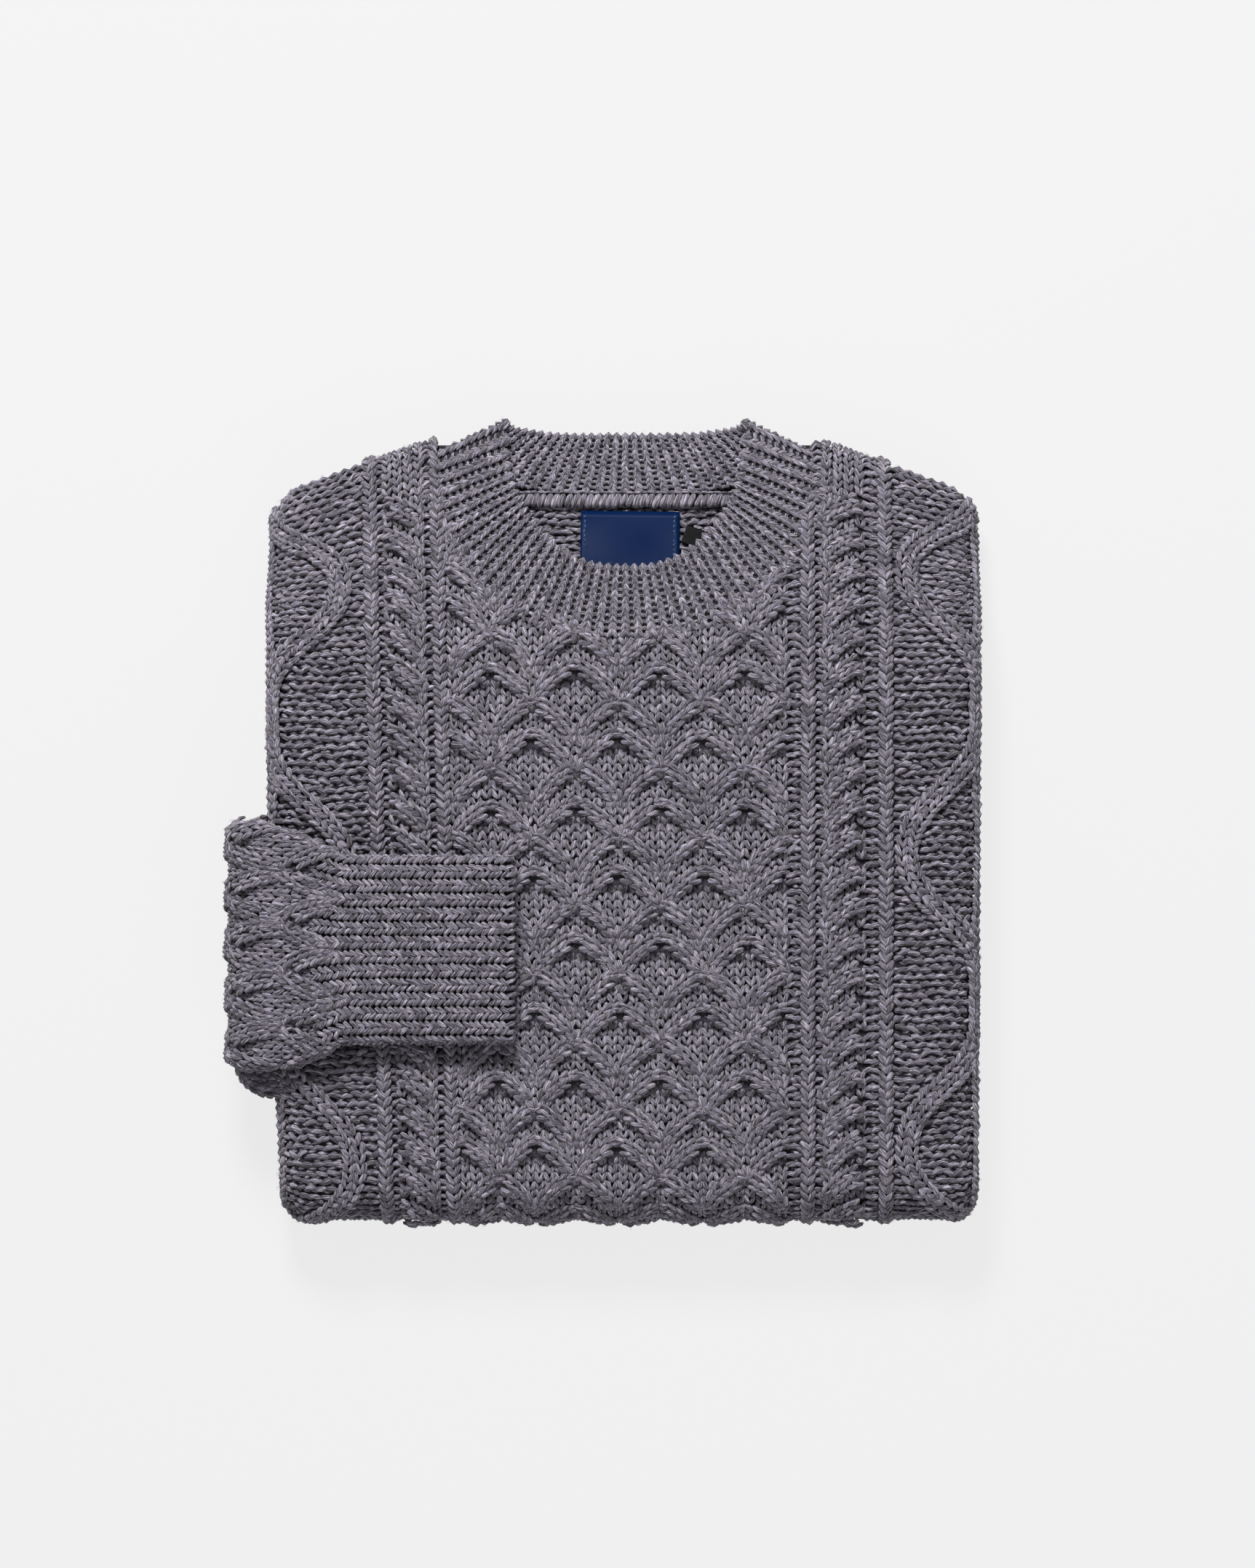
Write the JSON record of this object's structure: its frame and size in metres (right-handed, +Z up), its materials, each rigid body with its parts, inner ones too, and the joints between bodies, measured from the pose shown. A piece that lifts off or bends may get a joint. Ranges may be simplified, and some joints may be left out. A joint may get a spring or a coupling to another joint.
{
  "type": "folded cable knit sweater",
  "caption": "Crew neck sweater in thick cable knit, folded flat for a shelf, one ribbed cuff laid on its front.",
  "frame": {"origin": "under the middle of the folded sweater's box, on the surface that it rests on", "axes": "+X to the right of someone who looks down on the front, +Y to the shoulders, +Z up"},
  "size_m": [0.363, 0.3912, 0.0679],
  "materials": {
    "marl_wool": "heathered grey wool yarn, matt and slightly hairy",
    "navy_satin": "woven satin label with a soft sheen",
    "black_satin": "small woven tab, matt"
  },
  "bodies": {
    "root": {"front_panel": "marl_wool", "folded_layers": "marl_wool", "back_panel": "marl_wool", "neckband": "marl_wool", "neck_tape": "marl_wool", "label_main": "navy_satin", "label_size": "black_satin", "sleeve_right": "marl_wool", "cuff_right": "marl_wool"}
  },
  "joints": []
}
